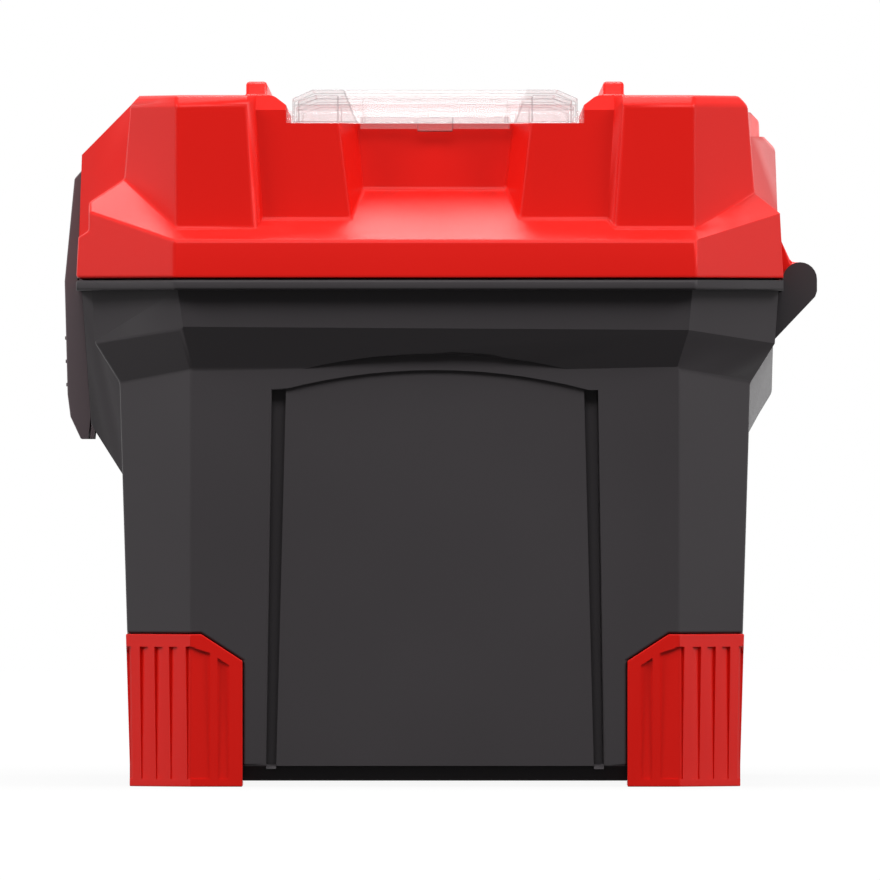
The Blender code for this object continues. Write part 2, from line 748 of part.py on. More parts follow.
def make_foot():
    """One corner foot: a ribbed wrap, a sole under the bin and a peg."""
    rings = []
    for z in (0, plinth_top, FOOT_HEIGHT):
        outer = foot_line(-FOOT_PROUD, 0, z)
        inner = foot_line(FOOT_THICK - FOOT_PROUD, 0, z)
        rings.append(outer + inner[::-1])
    body = solid("foot", loft(rings))
    sole = []
    for z in (0, FOOT_SOLE):
        line = foot_line(GAP, 0, z)
        sole.append(line + [(line[0][0], line[3][1], z)])
    join(body, loft(sole))
    for swap in (False, True):
        cut(body, leg_slant(swap))
        cut(body, groove_on_leg(0, LEG_GROOVE_WIDE, swap))
        cut(body, groove_on_leg(LEG_GROOVE_WIDE + LEG_RIB, LEG_GROOVE, swap))
    for i in range(RIB_COUNT):
        cut(body, groove_across((i - (RIB_COUNT - 1) / 2) * RIB_PITCH, RIB_GROOVE))
    side_point, end_point = foot_line(-FOOT_PROUD, 0, FOOT_HEIGHT)[1:3]
    edge = (Vector(end_point) - Vector(side_point)).length / 2
    for sign in (-1, 1):
        cut(body, groove_across(sign * edge, 2 * EDGE_GROOVE))
    join(body, peg(PEG_RADIUS, FOOT_THICK / 2 + WALL))
    return body


def make_feet(finish):
    pattern = make_foot()
    feet = []
    for y_sign, row in ((-1, "front"), (1, "rear")):
        for x_sign, end in ((-1, "left"), (1, "right")):
            feet.append(solid(f"foot_{row}_{end}", reflected(pattern, x_sign, y_sign), finish))
    bpy.data.objects.remove(pattern)
    return feet


# Lid

def lid_ring(reaches, widths, heights, front, back):
    """Ring of the lid: its ends step from the outer face to the middle panel and the scoop."""
    scoop, panel, face = reaches
    z_scoop, z_panel, z_face = heights
    scoop_in, scoop_out, ridge_in, ridge_out, end = widths
    half = [(scoop, scoop_in, z_scoop), (panel, scoop_out, z_panel), (panel, ridge_in, z_panel),
            (face, ridge_out, z_face), (face, end, z_face)]
    right = [(x, -y, z) for x, y, z in half[::-1]] + half
    left = [(-x, -y, z) for x, y, z in right]
    return right + [back, (-back[0], back[1], back[2])] + left + [(-front[0], front[1], front[2]), front]


def on_plane(a, b, c, y, z):
    """The point at (y, z) on the plane through three points."""
    a, b, c = Vector(a), Vector(b), Vector(c)
    normal = (b - a).cross(c - a)
    return a.x - (normal.y * (y - a.y) + normal.z * (z - a.z)) / normal.x, y, z


def facet_edges(ends, sides):
    """Side edge of each corner facet, given the (x, y, z) of its end edge and the side's (y, z)."""
    edges = [(rim_half - RIM_CORNER, *sides[0])]
    for i in range(1, len(ends)):
        edges.append(on_plane(ends[i - 1], edges[i - 1], ends[i], *sides[i]))
    return edges


def lid_skin():
    """Outer skin of the lid, from its foot to its shoulders."""
    ridge = CHANNEL + RIDGE_INSET
    end = rim_back - RIM_CORNER
    body_end = body_back - BODY_CORNER
    scoop_out = SCOOP_HALF + SCOOP_FLARE
    low = (SCOOP_HALF, scoop_out, ridge, ridge + RIDGE_WIDTH, end)
    mid = (SCOOP_HALF, scoop_out, ridge, ridge + RIDGE_WIDTH, body_end)
    high = (SCOOP_HALF + SCOOP_SPREAD / 2, scoop_out + SCOOP_SPREAD, ridge + RIDGE_SPREAD,
            ridge + RIDGE_SPREAD + RIDGE_WIDTH, body_end)
    skirt_z = lid_foot + SKIRT_END
    bevel_z = lid_top - TOP_BEVEL
    bases = (scoop_x, panel_x, face_x)
    tops = [x - FACE_LEAN for x in bases]
    reaches = [[rim_half] * 3, [skirt_half] * 3, bases, tops, [x - TOP_BEVEL_RUN for x in tops]]
    heights = [[lid_foot] * 3, [skirt_z] * 3, [skirt_z + SHELF_SLOPE * (skirt_half - x) for x in bases],
               [bevel_z - PANEL_BEVEL_DROP] * 2 + [bevel_z], [lid_top] * 3]
    widths = [low, low, mid, high, high]
    edges = []
    for sign, rim, body, skirt, rise in ((-1, rim_front, body_front, SKIRT_FRONT, SHELF_FRONT_RISE),
                                         (1, rim_back, body_back, SKIRT_BACK, SHELF_BACK_RISE)):
        outs = [rim, rim - SKIRT_LEAN, body, body - BODY_LEAN, body - BODY_LEAN - TOP_BEVEL_RUN]
        side_heights = [lid_foot, lid_foot + skirt, lid_foot + skirt + rise, bevel_z, lid_top]
        sides = [(sign * out, z) for out, z in zip(outs, side_heights)]
        ends = [(reach[2], sign * width[4], height[2])
                for reach, width, height in zip(reaches, widths, heights)]
        edges.append(facet_edges(ends, sides))
    return loft([lid_ring(*spec) for spec in zip(reaches, widths, heights, *edges)])


def front_step():
    """Side view of what is cut away above the step along the skirt's front."""
    wall = -(rim_front - STEP_IN)
    out = -(rim_front + OUTSIDE)
    low = lid_foot + STEP_FOOT
    over = lid_top + OUTSIDE
    return [(wall, low + STEP_RISE), (out, low - OUTSIDE * STEP_RISE / STEP_IN), (out, over), (wall, over)]


def lid_front_bulge(inset):
    """Outline of the lid's front bulge, drawn in by a wall."""
    face = -(rim_front - LID_BULGE_SKIRT - inset)
    low = lid_foot + SKIRT_END / 2
    top = lid_foot + LID_BULGE_RISE - inset / 2
    crown = lid_top - LID_CROWN_DROP - inset
    foot = -(body_front - 3 * LID_WALL)
    return [(foot, low), (face, low), (face + LID_BULGE_LEAN, top),
            (face + LID_BULGE_LEAN + LID_SLOPE_RUN, crown), (foot, crown)]


def lid_front_face(z):
    """The face of the lid's front bulge at a height."""
    (low_y, low_z), (high_y, high_z) = lid_front_bulge(0)[1:3]
    return low_y + (high_y - low_y) * (z - low_z) / (high_z - low_z)


def lid_back_step(top, inset, slope):
    """One step of the back bulge: its top and how far it stands in from the rim."""
    face = rim_back - SKIRT_LEAN - inset
    foot = body_back - 2 * (LID_WALL + inset)
    low = lid_foot + SKIRT_END
    return [(foot, low), (face, low), (face - LID_BULGE_LEAN, top - slope),
            (face - LID_BULGE_LEAN - slope, top), (foot, top)]


def lid_cavity():
    """Hollow under the lid: open below, up into the shoulders beside the channel."""
    skirt_z = lid_foot + SKIRT_END - SHELF_WALL
    back_z = lid_foot + SKIRT_BACK - SHELF_WALL
    front_z = lid_foot + SKIRT_FRONT - SHELF_WALL
    panel_in = panel_x - LID_WALL
    foot = (rim_half - LID_WALL, rim_front - LID_WALL, rim_back - LID_WALL)
    skirt = (skirt_half - LID_WALL, rim_front - STEP_IN - SHELF_WALL, rim_back - SKIRT_LEAN - LID_WALL)
    body = (panel_in, body_front - LID_WALL, body_back - LID_WALL)
    draw = BODY_LEAN + TOP_BEVEL_RUN + LID_WALL
    crown = (panel_in - FACE_LEAN - TOP_BEVEL_RUN, body_front - draw, body_back - draw)
    cavity = solid("cavity", loft([
        ring(*foot, RIM_CORNER, lid_foot - OUTSIDE),
        ring(*foot, RIM_CORNER, PARTING + TONGUE_RISE + RUN),
        ring(*skirt, RIM_CORNER, skirt_z, back_z, front_z),
        ring(*body, HOLLOW_CORNER, skirt_z + SHELF_SLOPE * (skirt_half - panel_x),
             back_z + SHELF_BACK_RISE, front_z + SHELF_FRONT_RISE),
        ring(*crown, HOLLOW_CORNER, lid_top - LID_WALL)]))
    deck_half = CHANNEL + LID_WALL
    reach = rim_half + OUTSIDE
    cut(cavity, box((-reach, -deck_half, deck_z), (reach, deck_half, lid_top + OUTSIDE)))
    for side in (-1, 1):
        scoop = [(side * x, skirt_z + SHELF_SLOPE * (skirt_half - x))
                 for x in (rim_half, scoop_x - LID_WALL)]
        scoop += [(x, lid_top) for x, z in scoop]
        wide = SCOOP_HALF + SCOOP_FLARE + SCOOP_SPREAD + LID_WALL
        cut(cavity, hull_y(scoop, -wide, wide))
        cut(cavity, latch_pocket(side * LATCH_SPACING / 2, LATCH_PIN_SEAT + LID_WALL, LID_WALL))
    return faces_of(cavity)


def front_hollows():
    """Hollows of the front bulge, between and beside the latch pockets."""
    pocket = LATCH_WIDTH / 2 + RUN + LATCH_PIN_SEAT + LID_WALL
    inner = LATCH_SPACING / 2 - pocket
    outer = LATCH_SPACING / 2 + pocket
    outline = lid_front_bulge(LID_WALL)
    outline.append((outline[0][0], lid_foot))
    spans = [(-inner, inner), (outer, bulge_half - LID_WALL), (-bulge_half + LID_WALL, -outer)]
    return [hull_x(outline, low, high) for low, high in spans if high - low > LID_WALL]


def lid_lug():
    root = rim_back - SKIRT_LEAN - LID_WALL / 2
    return circle((hinge_y, hinge_z), KNUCKLE_RADIUS) + [(root, hinge_z + KNUCKLE_RADIUS)]


def lid_gusset():
    """Web that ties the lid's knuckle to its back wall."""
    root = rim_back - SKIRT_LEAN - LID_WALL / 2
    low = lid_foot + KNUCKLE_RADIUS / 4
    return [(root, low), (rim_back, low), (hinge_y - KNUCKLE_RADIUS / 2, hinge_z + KNUCKLE_RADIUS),
            (rim_back - SKIRT_LEAN, hinge_z + LID_LUG_RISE), (root, hinge_z + LID_LUG_RISE)]


def rail(y_sign):
    low = y_sign * (CHANNEL + RAIL_INSET)
    high = y_sign * (CHANNEL + RAIL_INSET + RAIL_WIDTH)
    half = RAIL_LENGTH / 2
    outline = [(half, lid_top - LID_WALL / 2), (half - RAIL_SLOPE, lid_top + RAIL_HEIGHT)]
    outline += [(-x, z) for x, z in outline]
    return hull_y(outline, low, high)


def cut_channel(body):
    """Channel along the lid's top, its handle bay and the two organizer wells."""
    top = lid_top + OUTSIDE
    wide = CHANNEL + CHANNEL_CHAMFER + OUTSIDE * CHANNEL_CHAMFER / CHANNEL_CHAMFER_HEIGHT
    half_outline = [(CHANNEL, channel_z), (CHANNEL, lid_top - CHANNEL_CHAMFER_HEIGHT), (wide, top)]
    outline = half_outline + [(-y, z) for y, z in half_outline[::-1]]
    cut(body, along_x(outline, -rim_half - OUTSIDE, rim_half + OUTSIDE))
    bay_side = CHANNEL - BAY_LEDGE
    cut(body, box((-bay_half, -bay_side, well_z), (bay_half, bay_side, top)))
    for side in (-1, 1):
        low, high = sorted((side * well_start, side * well_end))
        cut(body, box((low, -well_half, well_z), (high, well_half, top)))


def latch_swing():
    """Radius round a latch's axis that its top needs."""
    return math.hypot(LATCH_TOP, LATCH_AXIS_INSET) + RUN


def latch_pocket(x, beside=0.0, around=0.0):
    """Box in which a latch's top swings, with room for the walls round it."""
    half = LATCH_WIDTH / 2 + RUN + beside
    swing = latch_swing() + around
    return box((x - half, -rim_front - OUTSIDE, latch_z - swing),
               (x + half, latch_y + swing, latch_z + swing))


def cut_latch_pocket(body, x):
    cut(body, latch_pocket(x))
    reach = LATCH_WIDTH / 2 + RUN + LATCH_PIN_SEAT
    cut(body, rod((latch_y, latch_z), LATCH_PIN_RADIUS + PIN_FIT, x - reach, x + reach))


def make_lid(finish):
    body = solid("lid", lid_skin(), finish)
    cut(body, hull_x(front_step(), -rim_half - OUTSIDE, rim_half + OUTSIDE))
    join(body, bevelled(lid_front_bulge(0), bulge_half, FRONT_SLANT))
    low_step = lid_back_step(lid_foot + BACK_STEP_LOW, 0, BACK_STEP_SLOPE)
    high_step = lid_back_step(lid_foot + BACK_STEP_HIGH, BACK_STEP_IN, BACK_STEP_SLOPE_HIGH)
    for step in (low_step, high_step):
        join(body, bevelled(step, bulge_half, BACK_STEP_SLANT))
    cut(body, lid_cavity())
    for hollow in front_hollows():
        cut(body, hollow)
    cut(body, hull_x(lid_back_step(lid_foot + BACK_STEP_LOW - LID_WALL, LID_WALL, BACK_STEP_SLOPE),
                     -bulge_half + LID_WALL, bulge_half - LID_WALL))
    cut_channel(body)
    for y_sign in (-1, 1):
        join(body, rail(y_sign))
    for side in (-1, 1):
        x = side * HINGE_SPACING / 2
        half = LID_KNUCKLE / 2
        join(body, hull_x(lid_lug(), x - half, x + half))
        join(body, hull_x(lid_gusset(), x - half, x + half))
        cut(body, rod((hinge_y, hinge_z), HINGE_PIN_RADIUS + PIN_FIT, x - half - GAP, x + half + GAP))
        for low, high in hinge_spans(x):
            cut(body, rod((hinge_y, hinge_z), KNUCKLE_RADIUS + KNUCKLE_GAP, low - RUN / 2, high + RUN / 2))
        cut_latch_pocket(body, side * LATCH_SPACING / 2)
        low, high = sorted((side * (bay_half - GAP), side * (bay_half + HANDLE_PIN_SEAT + GAP)))
        cut(body, rod((0, handle_z), HANDLE_PIN_RADIUS + PIN_FIT, low, high))
        reach = CHANNEL + TRUNNION_REACH + GAP
        for y_sign in (-1, 1):
            low, high = sorted((y_sign * (CHANNEL - GAP), y_sign * reach))
            cut(body, rod_y((side * cover_axis_x, cover_axis_z), TRUNNION_RADIUS + PIN_FIT, low, high))
    return body


# Organizers

def rod_y(centre, radius, low, high):
    """Round bar along Y."""
    points = circle(centre, radius)
    return loft([[(x, y, z) for x, z in points] for y in (low, high)])


def make_cover(finish, side, name):
    """Clear shell with a finger notch, a lip over the scoop, a snap tab and moulded trunnions."""
    flat = cover_half - COVER_CHAMFER
    shoulder = cover_top - COVER_CHAMFER_HEIGHT
    outline = [(cover_half, cover_foot), (cover_half, shoulder), (flat, cover_top)]
    outline += [(-y, z) for y, z in outline[::-1]]
    body = solid("cover", along_x(outline, cover_axis_x, cover_end), finish)
    join(body, rod_y((cover_axis_x, cover_axis_z), COVER_BARREL, -cover_half, cover_half))
    lip_x = scoop_x + RUN + COVER_SHELL
    notch_x = lip_x - NOTCH_RUN
    over = cover_top + GAP
    notch = [(x, y, over) for x in (notch_x, cover_end + OUTSIDE) for y in (-NOTCH_TOP, NOTCH_TOP)]
    notch += [(x, y, cover_foot - GAP) for x in (lip_x, cover_end + OUTSIDE)
              for y in (-NOTCH_BOTTOM, NOTCH_BOTTOM)]
    cut(body, hull(notch))
    inside = cover_top - COVER_SHELL
    under = cover_foot - OUTSIDE
    low = cover_axis_x + COVER_BARREL + COVER_SHELL
    back = notch_x - COVER_SHELL
    narrow = cover_half - COVER_SHELL
    crown = flat - COVER_SHELL / 2
    shell = [(narrow, under), (narrow, shoulder - COVER_SHELL / 2), (crown, inside)]
    shell += [(-y, z) for y, z in shell[::-1]]
    cut(body, along_x(shell, low, back))
    wing = [(NOTCH_TOP + COVER_SHELL, under), (narrow, under), (narrow, shoulder - COVER_SHELL / 2),
            (crown, inside), (NOTCH_TOP + COVER_SHELL, inside)]
    for y_sign in (-1, 1):
        cut(body, along_x([(y_sign * y, z) for y, z in wing], back - GAP, cover_end - COVER_SHELL))
    roof = inside - COVER_SHELL
    slope = [(back - GAP, cover_foot - GAP), (lip_x - 2 * COVER_SHELL, cover_foot - GAP),
             (notch_x + COVER_SHELL, roof), (back - GAP, roof)]
    cut(body, hull_y(slope, -NOTCH_BOTTOM + COVER_SHELL, NOTCH_BOTTOM - COVER_SHELL))
    lip_low = scoop_x + RUN
    lip_high = lip_low + COVER_SHELL
    lip_top = cover_foot + COVER_SHELL
    join(body, box((lip_low, -LIP_HALF, cover_foot - LIP_DROP), (lip_high, LIP_HALF, lip_top)))
    join(body, box((lip_low + COVER_SHELL / 2, -TAB_HALF, cover_foot - TAB_DROP),
                   (lip_high + TAB_THICK, TAB_HALF, lip_top)))
    for y_sign in (-1, 1):
        low, high = sorted((y_sign * (cover_half - COVER_SHELL), y_sign * (CHANNEL + TRUNNION_REACH)))
        join(body, rod_y((cover_axis_x, cover_axis_z), TRUNNION_RADIUS, low, high))
    made = solid(name, reflected(body, side, 1), finish)
    bpy.data.objects.remove(body)
    return made


def make_divider(finish, side, name):
    """Removable insert that splits a well into cells."""
    low = well_start + DIVIDER_FIT
    high = well_end - DIVIDER_FIT
    foot = well_z + GAP
    top = well_z + DIVIDER_HEIGHT
    half = DIVIDER / 2
    reach = well_half - DIVIDER_FIT
    body = solid("divider", box((low, -half, foot), (high, half, top)), finish)
    for i in range(1, DIVIDER_CELLS):
        x = low + (high - low) * i / DIVIDER_CELLS
        join(body, box((x - half, -reach, foot), (x + half, reach, top)))
    made = solid(name, reflected(body, side, 1), finish)
    bpy.data.objects.remove(body)
    return made


# Handle, folded to the front

def arm_outer():
    return bay_half - ARM_GAP


def make_bail(finish):
    grip = (-HANDLE_ARM, handle_z)
    inner = arm_outer() - ARM_THICK
    body = solid("handle_bail", rod(grip, CORE_RADIUS, -inner - ARM_THICK / 2, inner + ARM_THICK / 2), finish)
    for side in (-1, 1):
        low, high = sorted((side * inner, side * arm_outer()))
        outline = circle((0, handle_z), ARM_BOSS) + circle(grip, GRIP_RADIUS)
        join(body, hull_x(outline, low, high))
        cut(body, rod((0, handle_z), HANDLE_PIN_RADIUS + PIN_FIT, low - GAP, high + GAP))
    return body


def make_grip(finish):
    grip = (-HANDLE_ARM, handle_z)
    reach = arm_outer() - ARM_THICK - GRIP_END_GAP
    body = solid("handle_grip", rod(grip, GRIP_RADIUS, -reach, reach), finish)
    cut(body, rod(grip, CORE_RADIUS + GAP, -reach - GAP, reach + GAP))
    return body


def make_handle_pin(finish, side, name):
    head = arm_outer() - ARM_THICK - GAP
    centre = (0, handle_z)
    low, high = sorted((side * head, side * (bay_half + HANDLE_PIN_SEAT)))
    body = solid(name, rod(centre, HANDLE_PIN_RADIUS, low, high), finish)
    low, high = sorted((side * head, side * (head - PIN_HEAD)))
    join(body, rod(centre, PIN_HEAD_RADIUS, low, high))
    return body


# Latches

def latch_outline():
    """Side view of a latch: a plate from above its axis down to a tucked-in toe."""
    outer = latch_face + LATCH_THICK
    top = latch_z + LATCH_TOP
    foot = PARTING - LATCH_REACH
    toe = foot + LATCH_TOE_HEIGHT
    heel = -outer + LATCH_TOE_IN + LATCH_TOE
    floor = latch_z - latch_swing()
    return [(latch_y - LATCH_BARREL, top), (-outer + LATCH_TOP_IN, top - LATCH_TOP_IN),
            (-outer, PARTING),
            (-outer + LATCH_LEAN, toe + LATCH_TOE_HEIGHT), (-outer + 2 * LATCH_LEAN, toe),
            (-outer + LATCH_TOE_IN, foot), (heel, foot), (heel, foot + LATCH_TOE),
            (-outer + LATCH_THICK + LATCH_LEAN, toe), (-latch_face, PARTING),
            (lid_front_face(floor) - LATCH_GAP, floor),
            (latch_y, latch_z - LATCH_BARREL / 2), (latch_y, latch_z + LATCH_BARREL / 2)]


def latch_cheek():
    """Side wall of a latch, closing the gap to the bin's bulge below the rim."""
    foot = PARTING - LATCH_REACH
    toe = foot + LATCH_TOE_HEIGHT
    inner = -(rim_front - FRONT_BULGE_INSET + LATCH_GAP)
    lean = FRONT_BULGE_LEAN * (rim_bottom - toe) / FRONT_BULGE_DROP
    outer = -(latch_face + LATCH_THICK)
    plate = outer + LATCH_THICK / 2
    return [(plate, PARTING - GAP), (inner, PARTING - GAP), (inner, rim_bottom), (inner + lean, toe),
            (outer + LATCH_TOE_IN + LATCH_TOE, foot), (outer + LATCH_TOE_IN, foot),
            (plate + LATCH_LEAN, toe)]


def latch_bead():
    """Snap bead inside the latch, just below the bin's bead and clear of its tip."""
    top = rim_bottom - BEAD_DROP - BEAD_HEIGHT
    tip = bead_face() - BEAD - LATCH_GAP
    plate = -(latch_face + LATCH_THICK / 4)
    return [(plate, top), (tip, top - BEAD_HEIGHT / 4), (tip, top - BEAD_HEIGHT * 3 / 4),
            (plate, top - BEAD_HEIGHT)]


def make_latch(finish, side, name):
    """Latch hanging from its pin over the parting line, with finger bumps, cheeks and a snap bead."""
    x = side * LATCH_SPACING / 2
    half = LATCH_WIDTH / 2
    body = solid(name, along_x(latch_outline(), x - half, x + half), finish)
    join(body, rod((latch_y, latch_z), LATCH_BARREL, x - half, x + half))
    for low, high in ((x - half, x - half + LATCH_CHEEK), (x + half - LATCH_CHEEK, x + half)):
        join(body, hull_x(latch_cheek(), low, high))
    inside = half - LATCH_CHEEK - RUN
    join(body, hull_x(latch_bead(), x - inside, x + inside))
    outer = latch_face + LATCH_THICK
    toe = PARTING - LATCH_REACH + 2 * LATCH_TOE_HEIGHT
    for i in range(LATCH_BUMPS):
        z = PARTING - LATCH_BUMP_DROP - i * LATCH_BUMP_PITCH
        face = -outer + LATCH_LEAN * (PARTING - z) / (PARTING - toe)
        rise = LATCH_BUMP_HEIGHT / 2
        bump = [(face + LATCH_THICK / 2, z - rise), (face - LATCH_BUMP, z - rise / 2),
                (face - LATCH_BUMP, z + rise / 2), (face + LATCH_THICK / 2, z + rise)]
        join(body, hull_x(bump, x - half + LATCH_CHEEK, x + half - LATCH_CHEEK))
    cut(body, rod((latch_y, latch_z), LATCH_PIN_RADIUS + PIN_FIT, x - half - GAP, x + half + GAP))
    return body


def make_pin(name, centre, radius, span, finish):
    return solid(name, rod(centre, radius, *span), finish)


# Tray

def make_tray(finish):
    """Lift-out tray hung on the bin's ledge, with a T-shaped grip bar on its middle wall."""
    top = PARTING - TRAY_RIM_DROP
    foot = top + GAP - TRAY_DEPTH
    low = wall_lean(foot)
    well = [wall_half - END_WALL - low - WELL_FIT, wall_side - WALL - low - WELL_FIT]
    neck = [wall_half - END_WALL - WELL_FIT, wall_side - WALL - WELL_FIT]
    rim = [inner_half - TRAY_FIT, inner_side - TRAY_FIT]
    seat_z = ledge_z + GAP
    body = solid("tool_tray", loft([
        ring(well[0], well[1], well[1], WALL_CORNER - low, foot),
        ring(neck[0], neck[1], neck[1], WALL_CORNER, flare_bottom),
        ring(neck[0], neck[1], neck[1], WALL_CORNER, seat_z),
        ring(rim[0], rim[1], rim[1], BAND_CORNER, seat_z),
        ring(rim[0], rim[1], rim[1], BAND_CORNER, top)]), finish)
    floor = foot + TRAY_WALL
    rise = seat_z + TRAY_WALL
    inner_well, inner_neck, inner_rim = [[reach - TRAY_WALL for reach in plan] for plan in (well, neck, rim)]
    hollow = solid("hollow", loft([
        ring(inner_well[0], inner_well[1], inner_well[1], WALL_CORNER - low, floor),
        ring(inner_neck[0], inner_neck[1], inner_neck[1], WALL_CORNER, flare_bottom),
        ring(inner_neck[0], inner_neck[1], inner_neck[1], WALL_CORNER, rise),
        ring(inner_rim[0], inner_rim[1], inner_rim[1], BAND_CORNER, rise),
        ring(inner_rim[0], inner_rim[1], inner_rim[1], BAND_CORNER, top + OUTSIDE)]))
    cut(hollow, box((-rim_half, -TRAY_WALL / 2, foot), (rim_half, TRAY_WALL / 2, top + OUTSIDE * 2)))
    bar = TRAY_BAR_LENGTH / 2
    cut(hollow, box((-bar, -TRAY_BAR_HALF, top - TRAY_BAR), (bar, TRAY_BAR_HALF, top + OUTSIDE * 2)))
    cut(body, faces_of(hollow))
    cut(body, box((-rim_half, -rim_back, top), (rim_half, rim_back, top + OUTSIDE)))
    return body


def main():
    for made in list(bpy.data.objects):
        bpy.data.objects.remove(made)
    dark = material("dark polypropylene", "3a3839", 0.42)
    red = material("red polypropylene", "da251d", 0.38)
    clear = material("clear polystyrene", "f4f1f1", 0.08, clear=0.9)
    steel = material("zinc-plated steel", "b9bcc0", 0.3, metallic=1.0)
    rubber = material("soft grip rubber", "1f1d1e", 0.7)
    grey = material("grey polypropylene", "2b2a2b", 0.5)

    case = make_pivot("case", (0, 0, 0))
    case["empty"].location = (0, case_y, 0)
    lid_axis = make_pivot("lid_axis", (0, hinge_y, hinge_z), case)
    handle_axis = make_pivot("handle_axis", (0, 0, handle_z), lid_axis)
    tray_seat = make_pivot("tray_seat", (0, 0, ledge_z), case)

    fixed = [make_bin(dark)] + make_feet(red)
    lid_pieces = [make_lid(red)]
    round_pieces = []
    for side, name in ((-1, "left"), (1, "right")):
        hinge_pin = make_pin(f"hinge_pin_{name}", (hinge_y, hinge_z), HINGE_PIN_RADIUS,
                             hinge_pin_span(side), steel)
        fixed.append(hinge_pin)
        latch_x = side * LATCH_SPACING / 2
        latch_reach_x = LATCH_WIDTH / 2 + RUN + LATCH_PIN_SEAT - GAP
        latch_span = (latch_x - latch_reach_x, latch_x + latch_reach_x)
        latch_pin = make_pin(f"latch_pin_{name}", (latch_y, latch_z), LATCH_PIN_RADIUS, latch_span, steel)
        handle_pin = make_handle_pin(steel, side, f"handle_pin_{name}")
        lid_pieces += [latch_pin, handle_pin, make_divider(grey, side, f"organizer_divider_{name}")]
        round_pieces += [hinge_pin, latch_pin, handle_pin]
        latch_axis = make_pivot(f"latch_axis_{name}", (latch_x, latch_y, latch_z), lid_axis)
        seat([make_latch(dark, side, f"latch_{name}")], latch_axis)
        cover_axis = make_pivot(f"cover_axis_{name}", (side * cover_axis_x, 0, cover_axis_z), lid_axis)
        seat([make_cover(clear, side, f"organizer_cover_{name}")], cover_axis)
    handle = [make_bail(dark), make_grip(rubber)]
    seat(fixed, case)
    seat(lid_pieces, lid_axis)
    seat(handle, handle_axis)
    seat([make_tray(grey)], tray_seat)
    smooth(round_pieces + handle)


main()
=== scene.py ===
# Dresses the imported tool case: rounded mouldings, textured polypropylene, clear covers, studio light.

import json
import math

import bmesh
import bpy
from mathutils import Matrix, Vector, geometry


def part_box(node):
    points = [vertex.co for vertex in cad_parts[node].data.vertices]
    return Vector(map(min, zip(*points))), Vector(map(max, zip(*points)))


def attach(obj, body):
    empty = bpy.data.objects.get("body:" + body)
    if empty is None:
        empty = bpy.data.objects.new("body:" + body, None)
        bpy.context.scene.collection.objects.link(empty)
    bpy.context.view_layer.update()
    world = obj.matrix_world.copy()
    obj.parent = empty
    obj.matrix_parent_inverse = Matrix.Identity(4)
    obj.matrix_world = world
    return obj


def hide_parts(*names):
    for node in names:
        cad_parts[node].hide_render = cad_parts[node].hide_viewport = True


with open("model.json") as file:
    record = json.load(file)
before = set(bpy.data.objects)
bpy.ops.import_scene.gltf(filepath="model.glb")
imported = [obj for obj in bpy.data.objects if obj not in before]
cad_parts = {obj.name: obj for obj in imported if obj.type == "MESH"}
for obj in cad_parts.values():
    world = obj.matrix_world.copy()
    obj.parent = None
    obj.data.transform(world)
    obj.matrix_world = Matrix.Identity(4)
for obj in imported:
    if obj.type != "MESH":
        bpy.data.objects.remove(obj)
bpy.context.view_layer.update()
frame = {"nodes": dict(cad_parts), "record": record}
record = frame["record"]
bodyOf = {node: body for body, nodes in record["behaviour"]["bodies"].items() for node in nodes}
mm = 0.001
print("frame loaded:", len(frame["nodes"]), "nodes")


# Materials

def linear(code, alpha=1.0):
    channels = [int(code[i:i + 2], 16) / 255 for i in (0, 2, 4)]
    return [c / 12.92 if c <= 0.04045 else ((c + 0.055) / 1.055) ** 2.4 for c in channels] + [alpha]


def addNode(material, kind, settings=None, links=None):
    node = material.node_tree.nodes.new(kind)
    for name, value in (settings or {}).items():
        if isinstance(name, str) and hasattr(node, name):
            setattr(node, name, value)
        else:
            node.inputs[name].default_value = value
    for socket, source in (links or {}).items():
        material.node_tree.links.new(source, node.inputs[socket])
    return node


def perMetre(size):  # noise scale whose features are about this many mm across
    return 1.0 / (size * mm)


mixSocket = {"deep": 6, "light": 7, "mixed": 2}  # the Mix node's colour sockets
noiseShape = {"flowDetail": 2.0, "grainDetail": 3.0, "grainRough": 0.6, "waveDetail": 1.0}


def startMaterial(name):
    made = bpy.data.materials.new(name)
    made.use_nodes = True
    return made, made.node_tree.nodes["Principled BSDF"], addNode(made, "ShaderNodeTexCoord").outputs["Object"]


def joinShader(made, shader, sources):
    for socket, source in sources.items():
        made.node_tree.links.new(source, shader.inputs[socket])


def reliefOf(made, look, height):
    return addNode(made, "ShaderNodeBump", {"Strength": look["bumpStrength"], "Distance": look["bumpDepthMm"] * mm},
                   {"Height": height.outputs["Fac"]}).outputs["Normal"]


def patternedSurface(made, shader, look, tone, fine):  # shade from one noise, dullness and relief from a finer one
    ends = {mixSocket[end]: linear(look[end]) for end in ("deep", "light")}
    shade = addNode(made, "ShaderNodeMix", {"data_type": "RGBA", **ends}, {0: tone.outputs["Fac"]})
    dull = addNode(made, "ShaderNodeMapRange", {"To Min": look["rough"][0], "To Max": look["rough"][1]},
                   {"Value": fine.outputs["Fac"]})
    joinShader(made, shader, {"Base Color": shade.outputs[mixSocket["mixed"]], "Roughness": dull.outputs["Result"],
                              "Normal": reliefOf(made, look, fine)})


def mouldedPlastic(name, look):
    # spark-eroded tool texture gives a fine even grain, and the melt's flow a faint change of shade
    made, shader, place = startMaterial(name)
    shader.inputs["IOR"].default_value = look["ior"]
    shader.inputs["Specular IOR Level"].default_value = look["gloss"]
    flow = addNode(made, "ShaderNodeTexNoise",
                   {"Scale": perMetre(look["flowMm"]), "Detail": noiseShape["flowDetail"]}, {"Vector": place})
    grain = addNode(made, "ShaderNodeTexNoise",
                    {"Scale": perMetre(look["grainMm"]), "Detail": noiseShape["grainDetail"],
                     "Roughness": noiseShape["grainRough"]}, {"Vector": place})
    patternedSurface(made, shader, look, flow, grain)
    return made


